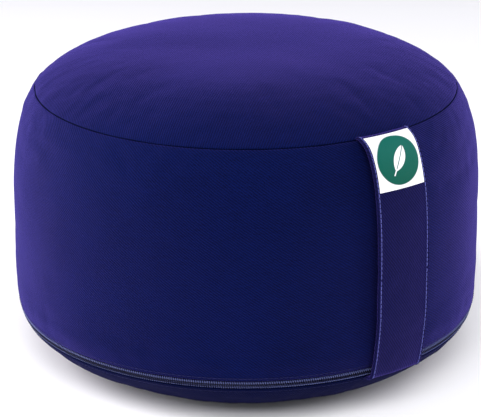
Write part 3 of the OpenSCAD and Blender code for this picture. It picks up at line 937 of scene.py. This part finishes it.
def strap_off(z):
    z = np.asarray(z, float)
    low = ZIP_ROOM - (ZIP_ROOM + LOW_IN) * np.power(1 - np.clip((z - STRAP_LOW) / 4.3, 0, 1), 5)
    u = np.clip((z - STRAP_LOW) / (STRAP_TOP - STRAP_LOW), 0, 1)
    high = (ZIP_ROOM + (STRAP_GAP - ZIP_ROOM) * smooth((z - ZIP_Z) / 40)) * (1 - u ** 60) + 0.15 * smooth((z - 120) / 40)
    return np.where(z < ZIP_Z, low, high)


zz = np.concatenate([STRAP_TOP - np.linspace(0, 1, 90) ** 2 * 12, np.linspace(STRAP_TOP - 12, STRAP_LOW + 8, 160)[1:],
                     STRAP_LOW + np.linspace(1, 0, 70)[1:] ** 2 * 8])
line = np.stack([side_r(zz) + strap_off(zz), zz], 1)
seam_pt = DOME.at(np.array([DOME.len]), np.array([0.0]))[0]
line = np.concatenate([[[SEAM_R - 3.2, SEAM_Z - 2.2], [SEAM_R - 1.4, SEAM_Z - 1.1]], line,
                       [[line[-1, 0] - 1.2, line[-1, 1] - 0.2], [line[-1, 0] - 2.8, line[-1, 1] - 0.2]]])
# even spacing, lightly smoothed
seg = np.concatenate([[0], np.cumsum(np.linalg.norm(np.diff(line, axis=0), axis=1))])
ls = np.linspace(0, seg[-1], 420)
line = np.stack([np.interp(ls, seg, line[:, k]) for k in (0, 1)], 1)
for _ in range(3):
    line[1:-1] = 0.25 * line[:-2] + 0.5 * line[1:-1] + 0.25 * line[2:]
STRAP = Path(line)
STRAP.n = -STRAP.n                                    # outward from the body
SPLIT = float(np.interp(-94.0, -STRAP.p[:, 1], STRAP.s))


def strap_point(s, x, o):
    """A point on the strap: s along it, x across it, o out from its inner face, in metres."""
    s, x, o = np.broadcast_arrays(np.asarray(s, float), np.asarray(x, float), np.asarray(o, float))
    sc = np.clip(s, 0, STRAP.len)
    p = np.stack([np.interp(sc, STRAP.s, STRAP.p[:, k]) for k in (0, 1)], -1)
    n = np.stack([np.interp(sc, STRAP.s, STRAP.n[:, k]) for k in (0, 1)], -1)
    n /= np.linalg.norm(n, axis=-1)[..., None]
    q = p + n * o[..., None]
    a = x / (p[..., 0] + 1.0) - math.pi / 2
    return spin(q, a)


WIDE = STRAP_W / 40


def strap_top_o(x, s):
    """Height of the strap's outer face: rolled edges, a dip along each stitch line."""
    ax = np.abs(x) / WIDE
    h = 1.75 + 0.22 * np.exp(-((ax - 19.2) / 0.6) ** 2) + 0.42 * smooth((ax - 16.0) / 3.2) - 0.34 * np.exp(-((ax - 18.1) / 0.42) ** 2)
    return h


XS = np.array([0, 2.5, 5, 7.5, 10, 12, 14, 15.4, 16.2, 16.9, 17.4, 17.75, 17.95, 18.1, 18.25, 18.5, 18.8, 19.1, 19.35, 19.6, 19.8, 19.95, 20.0])
xs_out = np.concatenate([-XS[::-1], XS[1:]]) * WIDE
xs_in = np.array([19.95, 19.8, 19.4, 18.6, 16, 10, 4, -4, -10, -16, -18.6, -19.4, -19.8, -19.95]) * WIDE


def thick(s):
    """The strap is squeezed flat where it enters its two seams."""
    return 0.3 + 0.7 * float(smooth(s / 6.0) * smooth((STRAP.len - s) / 5.5))


def strap_piece(name, s0, s1, n):
    ss = np.linspace(s0, s1, n)
    cols_x, cols_o = [], []
    for s in ss:
        pinch = 0.0
        wave = 0.16 * noise.noise(Vector((s * 0.05, 2.0, 0))) * 2
        w = 1 + (0.004 * noise.noise(Vector((s * 0.035, 9.0, 0))))
        o1 = strap_top_o(xs_out, s)
        r = np.clip((np.abs(xs_out) / WIDE - 18.9) / 1.1, 0, 1)
        o1 = 1.15 + (o1 - 1.15) * np.sqrt(np.clip(1 - r ** 2, 0, 1))
        puff = np.array([0.16 * noise.noise(Vector((s * 0.11, x * 0.13, 4.0))) for x in xs_out])
        puck = np.array([0.13 * noise.noise(Vector((s * 0.42, np.sign(x) * 3, 7.0))) * math.exp(-((abs(x) / WIDE - 17.5) / 2.2) ** 2) for x in xs_out])
        o1 = o1 + puff + puck
        r = np.clip((np.abs(xs_in) / WIDE - 18.9) / 1.1, 0, 1)
        o2 = 1.15 - 1.15 * np.sqrt(np.clip(1 - r ** 2, 0, 1)) + 0.0 * xs_in
        cols_x.append(np.concatenate([xs_out, xs_in]) * w + wave)
        cols_o.append(np.concatenate([o1, o2]) * thick(s))
    X, O = np.array(cols_x), np.array(cols_o)
    S_ = ss[:, None].repeat(X.shape[1], 1)
    P = strap_point(S_, X, O)
    girth = np.concatenate([[0], np.cumsum(np.hypot(np.diff(np.append(X[0], X[0, 0])), np.diff(np.append(O[0], O[0, 0]))))])
    U = girth[None, :].repeat(len(ss), 0)
    V = ss[:, None].repeat(len(girth), 1)
    uv = np.stack([V, U], -1) * MM
    o = lattice(name, P, uv=uv)
    return o


UP0, UP1 = (0, -0.155, 0.168), (0, -0.155, 0.102)
LO0, LO1 = (0, -0.155, 0.027), (0, -0.155, 0.086)
su = strap_piece("strap_upper_half", 0.0, SPLIT, 150)
sl_ = strap_piece("strap_lower_half", SPLIT, STRAP.len, 130)
for o, c in ((su, (0, -0.154, 0.13)), (sl_, (0, -0.154, 0.06))):
    use(o, strap_m)
import bmesh
for o in (su, sl_):
    bm = bmesh.new()
    bm.from_mesh(o.data)
    bmesh.ops.recalc_face_normals(bm, faces=bm.faces)
    bm.to_mesh(o.data)
    bm.free()
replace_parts(su, "handle_upper_end", "handle_grip")
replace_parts(sl_, "handle_lower_end")
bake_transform(su)
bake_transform(sl_)


def strap_row(x):
    def place(t, d):
        o = 1.75 + 0.42 * float(smooth((18.1 - 16) / 3.2)) - 0.34 + 0.16
        return strap_point(np.array([t]), np.array([x]), np.array([o * thick(t) - d]))[0]
    return place


for name, s0, s1, a, b in (("strap_upper_topstitch", 4.0, SPLIT - 0.2, UP0, UP1), ("strap_lower_topstitch", SPLIT + 0.2, STRAP.len - 5.5, LO0, LO1)):
    rows = []
    for x in (-18.1, 18.1):
        rows += dashes(strap_row(x), s0, s1, 2.45, 0.55, 0.08, n=6)
    v, f = tube(rows, 0.26 * MM, 6)
    o = make(name, v, f)
    use(o, strap_thread_m)
    if "upper" in name:
        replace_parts(o, "handle_grip_stitching")
    else:
        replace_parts(o, "handle_end_stitching")
    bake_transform(o)
    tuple(a)
    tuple(b)


# ------------------------------------------------------------------ label
LABEL_W, LABEL_H = 34.4, 33.6
lab0 = float(np.interp(-(STRAP_TOP - 0.7), -STRAP.p[12:, 1], STRAP.s[12:])) + 0.2


def label_o(x, v):
    """Height of the label above the strap's inner face: it lies on the strap, held down along its stitched border."""
    ax, av = np.abs(x), np.abs(v)
    e = np.minimum(LABEL_W / 2 - ax, LABEL_H / 2 - av)
    return 2.06 + 0.34 * smooth(e / 5.0) + 0.10 * np.sin(np.clip(e / 1.2, 0, 1) * math.pi / 2) - 0.10 * np.exp(-((e - 1.3) / 0.4) ** 2)


g = (np.concatenate([[0, 0.12, 0.35, 0.7], np.linspace(1.0, 33.0, 60), [33.3, 33.65, 33.88, 34]]) - 17.0) / 34.0
GX, GV = np.meshgrid(g * LABEL_W, g * LABEL_H)
top_o = label_o(GX, GV)
PT = strap_point(lab0 + LABEL_H / 2 + GV, GX, top_o)
GI = np.pad(PT, ((1, 1), (1, 1), (0, 0)), mode="edge")
e_x = np.pad(GX, 1, mode="edge")
e_v = np.pad(GV, 1, mode="edge")
low = strap_point(lab0 + LABEL_H / 2 + e_v, e_x, np.full(e_x.shape, 1.55))
GI[0], GI[-1], GI[:, 0], GI[:, -1] = low[0], low[-1], low[:, 0], low[:, -1]
uv = np.stack([e_x / LABEL_W + 0.5, 0.5 - e_v / LABEL_H], -1)
label = lattice("woven_label_satin", GI, wrap=False, uv=uv)
outward(label, (0, -0.12, 0.15))

lm, nt, bsdf = new_mat("label_satin_weave")
uvn = node(nt, "ShaderNodeUVMap", uv_map="UVMap")
sep = node(nt, "ShaderNodeSeparateXYZ")
nt.links.new(uvn.outputs[0], sep.inputs[0])
u, w = math_node(nt, "SUBTRACT", sep.outputs[0], 0.5), math_node(nt, "SUBTRACT", sep.outputs[1], 0.5)


def length2(a, b):
    return math_node(nt, "SQRT", math_node(nt, "ADD", math_node(nt, "MULTIPLY", a, a), math_node(nt, "MULTIPLY", b, b)))


def below(val, limit, soft=0.006):
    n = node(nt, "ShaderNodeMapRange", in_1=limit - soft, in_2=limit + soft, in_3=1.0, in_4=0.0)
    n.clamp = True
    nt.links.new(val, n.inputs[0])
    return n.outputs[0]


disc = below(length2(math_node(nt, "MULTIPLY", math_node(nt, "ADD", u, 0.004), 0.955), w), 0.435, 0.008)
# a plain leaf: the overlap of two circles, leaning, with a midrib and a short stalk
ca, sa = math.cos(math.radians(32)), math.sin(math.radians(32))
lu = math_node(nt, "ADD", math_node(nt, "MULTIPLY", u, ca), math_node(nt, "MULTIPLY", w, -sa))
lw = math_node(nt, "ADD", math_node(nt, "MULTIPLY", u, sa), math_node(nt, "MULTIPLY", w, ca))
lw = math_node(nt, "SUBTRACT", lw, 0.03)
c1 = below(length2(math_node(nt, "ADD", lu, 0.20), lw), 0.315)
c2 = below(length2(math_node(nt, "SUBTRACT", lu, 0.20), lw), 0.315)
leaf = math_node(nt, "MULTIPLY", c1, c2)
rib = below(math_node(nt, "ABSOLUTE", lu), 0.009, 0.004)
leaf = math_node(nt, "MULTIPLY", leaf, math_node(nt, "SUBTRACT", 1.0, rib))
stalk = math_node(nt, "MULTIPLY", below(math_node(nt, "ABSOLUTE", lu), 0.011, 0.004),
                  math_node(nt, "MULTIPLY", below(lw, -0.20), below(math_node(nt, "MULTIPLY", lw, -1.0), 0.33)))
motif = math_node(nt, "MAXIMUM", leaf, stalk)
grad = node(nt, "ShaderNodeMapRange", in_1=0.1, in_2=0.9)
nt.links.new(sep.outputs[1], grad.inputs[0])
green = mix_col(nt, grad.outputs[0], (0.0002, 0.066, 0.043), (0.003, 0.095, 0.075))
threads = node(nt, "ShaderNodeMapping")
threads.inputs["Scale"].default_value = (140, 70, 1)
nt.links.new(uvn.outputs[0], threads.inputs[0])
tn = node(nt, "ShaderNodeTexNoise", in_Scale=1.0, in_Detail=3.0)
nt.links.new(threads.outputs[0], tn.inputs["Vector"])
white = mix_col(nt, tn.outputs[0], (0.70, 0.71, 0.74), (0.82, 0.82, 0.84))
green2 = mix_col(nt, math_node(nt, "MULTIPLY", tn.outputs[0], 0.25), green, (0.006, 0.11, 0.080))
col = mix_col(nt, disc, white, green2)
col = mix_col(nt, math_node(nt, "MULTIPLY", motif, disc), col, white)
nt.links.new(col, bsdf.inputs["Base Color"])
sx = math_node(nt, "SINE", math_node(nt, "MULTIPLY", sep.outputs[0], 2 * math.pi * 70))
sy = math_node(nt, "SINE", math_node(nt, "MULTIPLY", sep.outputs[1], 2 * math.pi * 90))
hh = math_node(nt, "ADD", math_node(nt, "MULTIPLY", math_node(nt, "MULTIPLY", sx, sy), 0.5), tn.outputs[0])
hh = math_node(nt, "ADD", hh, math_node(nt, "MULTIPLY", disc, 1.2))
b = node(nt, "ShaderNodeBump", in_Strength=0.3, in_Distance=0.00012)
nt.links.new(hh, b.inputs["Height"])
nt.links.new(b.outputs[0], bsdf.inputs["Normal"])
bsdf.inputs["Roughness"].default_value = 0.6
bsdf.inputs["Specular IOR Level"].default_value = 0.08
use(label, lm)
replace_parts(label, "woven_label")
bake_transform(label)

rows = []
half, tall = LABEL_W / 2 - 1.3, LABEL_H / 2 - 1.3


def label_line(x0, v0, x1, v1):
    L = math.hypot(x1 - x0, v1 - v0)

    def place(t, d):
        k = t / L
        x, v = x0 + (x1 - x0) * k, v0 + (v1 - v0) * k
        o = float(label_o(np.array([x]), np.array([v]))[0])
        return strap_point(np.array([lab0 + LABEL_H / 2 + v]), np.array([x]), np.array([o - d]))[0]
    return place, L


for ends in ((-half, -tall, half, -tall), (half, -tall, half, tall), (half, tall, -half, tall), (-half, tall, -half, -tall)):
    place, L = label_line(*ends)
    rows += dashes(place, 0.2, L, 1.9, 0.45, 0.06)
v, f = tube(rows, 0.15 * MM, 5)
o = make("label_border_stitches", v, f)
use(o, white_thread_m)
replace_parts(o, "label_stitching")
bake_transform(o)


# ------------------------------------------------------------------ liner and filling
LD = 5.0
LDOME, LSIDE, LBASE = Path(dome_curve(LD, 120)), Path(side_curve(LD, 200)), Path(base_curve(LD, 140))


def shell(name, path, ss, ang, gain, m, nodes, last=False, keep=None, crumple=0.5, centre=(0, 0, 0.1), seedv=0.0):
    S_ = np.asarray(ss)[:, None].repeat(len(ang), 1)
    AN = ang[None, :].repeat(len(ss), 0)
    rz = path.at(S_, 0.0)
    P = spin(rz, AN)
    cr = np.array([noise.noise(Vector(q) * 42 + Vector((seedv, 0, 0))) * crumple + noise.noise(Vector(q) * 110) * crumple * 0.4
                   for q in P.reshape(-1, 3)]).reshape(P.shape[:2])
    P = P + radial(path, S_, AN) * ((cr - crumple * 0.5) * MM)[..., None]
    uvx = np.concatenate([AN, AN[:, :1] + 2 * math.pi], 1)
    Sx = np.concatenate([S_, S_[:, :1]], 1)
    uv = (np.stack([Sx * np.cos(uvx), Sx * np.sin(uvx)], -1) if last else np.stack([uvx * 148, Sx], -1)) * MM
    o = lattice(name, P, uv=uv, last=P[-1].mean(0) if last else None, keep=keep)
    outward(o, centre)
    use(o, m)
    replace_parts(o, *nodes)
    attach(o, "cushion")
    return o


AL = np.linspace(0, 2 * math.pi, 240, endpoint=False)
o = shell("liner_top_muslin", LDOME, np.linspace(LDOME.len - 0.24, 1.0, 50), AL, 1, muslin_m, ["liner_top_panel"], last=True)
ss = np.linspace(0.4, LSIDE.len - 0.2, 80)
zrow = LSIDE.at(ss)[:, 1]
keep = np.ones((len(ss), len(AL)), bool)
a_deg = np.degrees(AL)
slot_cols = (a_deg > 180 - 41.5) & (a_deg < 180 + 40.5)
slot_rows = (zrow < 112 + 3.2) & (zrow > 112 - 1.6)
keep[np.ix_(slot_rows, slot_cols)] = False
o = shell("liner_side_muslin", LSIDE, ss, AL, 1, muslin_m, ["liner_side_panel"], keep=keep)
o = shell("liner_base_muslin", LBASE, np.linspace(0.2, LBASE.len - 1.0, 60), AL, 1, muslin_m, ["liner_base_panel"], last=True,
          centre=(0, 0, 0.05))

FD = 7.9
FC = np.concatenate([dome_curve(FD, 50), side_curve(FD, 60)[1:], base_curve(FD, 70)[1:]])
FP = Path(FC)
fs = np.linspace(1.0, FP.len - 1.0, 150)
AF = np.linspace(0, 2 * math.pi, 300, endpoint=False)
S_ = fs[:, None].repeat(len(AF), 1)
AN = AF[None, :].repeat(len(fs), 0)
P = spin(FP.at(S_, 0.0), AN)
peb = np.array([noise.noise(Vector(q) * 260) + 0.5 * noise.noise(Vector(q) * 520) for q in P.reshape(-1, 3)]).reshape(P.shape[:2])
P = P + radial(FP, S_, AN) * ((peb * 0.9 - 1.0) * MM)[..., None]
fill = lattice("buckwheat_hulls_packed", P, first=P[0].mean(0), last=P[-1].mean(0))
outward(fill)
hm, nt, bsdf = new_mat("buckwheat_hulls")
co = node(nt, "ShaderNodeTexCoord")
vo = node(nt, "ShaderNodeTexVoronoi", in_Scale=230.0)
ve = node(nt, "ShaderNodeTexVoronoi", in_Scale=230.0, feature="DISTANCE_TO_EDGE")
for t in (vo, ve):
    nt.links.new(co.outputs["Object"], t.inputs["Vector"])
sepc = node(nt, "ShaderNodeSeparateColor")
nt.links.new(vo.outputs["Color"], sepc.inputs[0])
c = mix_col(nt, sepc.outputs[0], (0.018, 0.010, 0.006), (0.13, 0.075, 0.035))
# near-black along the cell edges: painted shade in the gaps between hulls
edge = node(nt, "ShaderNodeMapRange", in_1=0.0, in_2=0.12)
nt.links.new(ve.outputs["Distance"], edge.inputs[0])
nt.links.new(mix_col(nt, edge.outputs[0], (0.004, 0.003, 0.002), c), bsdf.inputs["Base Color"])
b = node(nt, "ShaderNodeBump", in_Strength=0.8, in_Distance=0.0008)
nt.links.new(edge.outputs[0], b.inputs["Height"])
nt.links.new(b.outputs[0], bsdf.inputs["Normal"])
bsdf.inputs["Roughness"].default_value = 0.62
use(fill, hm)
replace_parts(fill, "buckwheat_fill")
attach(fill, "cushion")

# hidden pieces keep their CAD shape and get their own finish
for n, m in (("cover_top_seam_overlock", thread_m), ("cover_base_seam_thread", thread_m), ("cover_side_join_thread", thread_m),
             ("liner_seam_threads", muslin_thread_m), ("liner_zip_tapes", muslin_m), ("liner_zip_coils", liner_coil_m),
             ("liner_zip_stops", metal_m), ("liner_zip_slider", metal_m), ("liner_zip_pull_tab", metal_m)):
    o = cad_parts[n]
    o.data.materials.clear()
    o.data.materials.append(m)


# ------------------------------------------------------------------ stage
bpy.ops.mesh.primitive_plane_add(size=14, location=(0, 0, 0))
floor = bpy.context.object
floor.name = "floor"
fm, nt, bsdf = new_mat("pale_floor")
co = node(nt, "ShaderNodeTexCoord")
fn = node(nt, "ShaderNodeTexNoise", in_Scale=3.0, in_Detail=3.0)
nt.links.new(co.outputs["Object"], fn.inputs["Vector"])
nt.links.new(mix_col(nt, fn.outputs[0], (0.87, 0.87, 0.88), (0.90, 0.90, 0.91)), bsdf.inputs["Base Color"])
bsdf.inputs["Roughness"].default_value = 0.9
bsdf.inputs["Specular IOR Level"].default_value = 0.1
use(floor, fm)

AZ = math.radians(-36.8)
EL = math.radians(20.12)
AIM = Vector((0, 0, 0.0929))
DIST = 1.4
cam_dir = Vector((math.sin(AZ) * math.cos(EL), -math.cos(AZ) * math.cos(EL), math.sin(EL)))
cd = bpy.data.cameras.new("camera")
cam = bpy.data.objects.new("camera", cd)
bpy.context.scene.collection.objects.link(cam)
cam.location = AIM + cam_dir * DIST
cam.rotation_euler = ((-cam_dir).to_track_quat("-Z", "Y") @ Quaternion((0, 0, 1), math.radians(-0.16))).to_euler()
cd.sensor_width = 36.0
cd.lens = 36.0 * 2108.5 / 481
cd.shift_x, cd.shift_y = -5.7 / 481, -4.2 / 481
cd.clip_start, cd.clip_end = 0.05, 60
bpy.context.scene.camera = cam

fwd = Vector((-math.sin(AZ), math.cos(AZ), 0))      # away from the camera, level
right = Vector((math.cos(AZ), math.sin(AZ), 0))


def softbox(name, pos, aim, size, power, colour=(1, 1, 1)):
    ld = bpy.data.lights.new(name, "AREA")
    ld.shape, ld.size, ld.size_y = "RECTANGLE", size[0], size[1]
    ld.energy = power
    ld.color = colour
    o = bpy.data.objects.new(name, ld)
    bpy.context.scene.collection.objects.link(o)
    o.location = pos
    o.rotation_euler = (Vector(aim) - Vector(pos)).to_track_quat("-Z", "Y").to_euler()
    return o


mid = Vector((0, 0, 0.1))
softbox("soft_left", mid - right * 1.25 - fwd * 0.02 + Vector((0, 0, 0.42)), mid, (0.9, 1.3), 28, (1.0, 0.95, 1.0))
softbox("soft_right", mid + right * 1.25 - fwd * 0.02 + Vector((0, 0, 0.42)), mid, (0.9, 1.3), 14, (1.0, 0.95, 1.0))
softbox("soft_front", mid - fwd * 1.3 + Vector((0, 0, 1.5)), mid, (1.8, 1.2), 34)
world = bpy.data.worlds.new("world")
bpy.context.scene.world = world
world.use_nodes = True
world.node_tree.nodes["Background"].inputs[0].default_value = (0.92, 0.95, 1.0, 1)
world.node_tree.nodes["Background"].inputs[1].default_value = 0.45
bpy.context.scene.view_settings.view_transform = "Standard"
